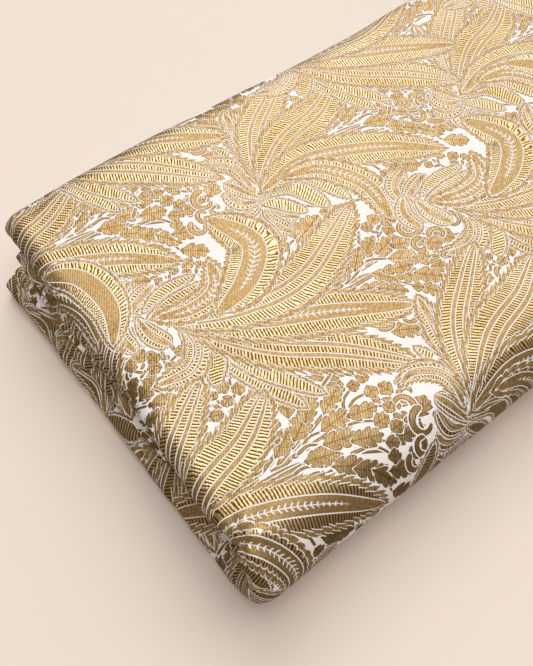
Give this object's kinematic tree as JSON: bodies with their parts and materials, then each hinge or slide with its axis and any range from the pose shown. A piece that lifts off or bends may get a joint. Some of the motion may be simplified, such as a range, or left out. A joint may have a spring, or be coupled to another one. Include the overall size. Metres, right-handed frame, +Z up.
{
  "type": "folded brocade fabric",
  "caption": "Length of gold and white brocade laid back and forth in layers, then folded in half into a flat rectangular bundle that rests on its underside",
  "frame": {"origin": "middle of the bundle's box, at the height of the surface it rests on", "axes": "+X along the long side, away from the creased short end; +Y across, from the rounded long side towards the loose edges; +Z up"},
  "size_m": [0.4208, 0.2726, 0.0585],
  "materials": {
    "gold_brocade": "white satin ground with raised gold leaf motifs, soft metallic sheen"
  },
  "bodies": {
    "root": {"brocade_cloth": "gold_brocade"}
  },
  "joints": []
}
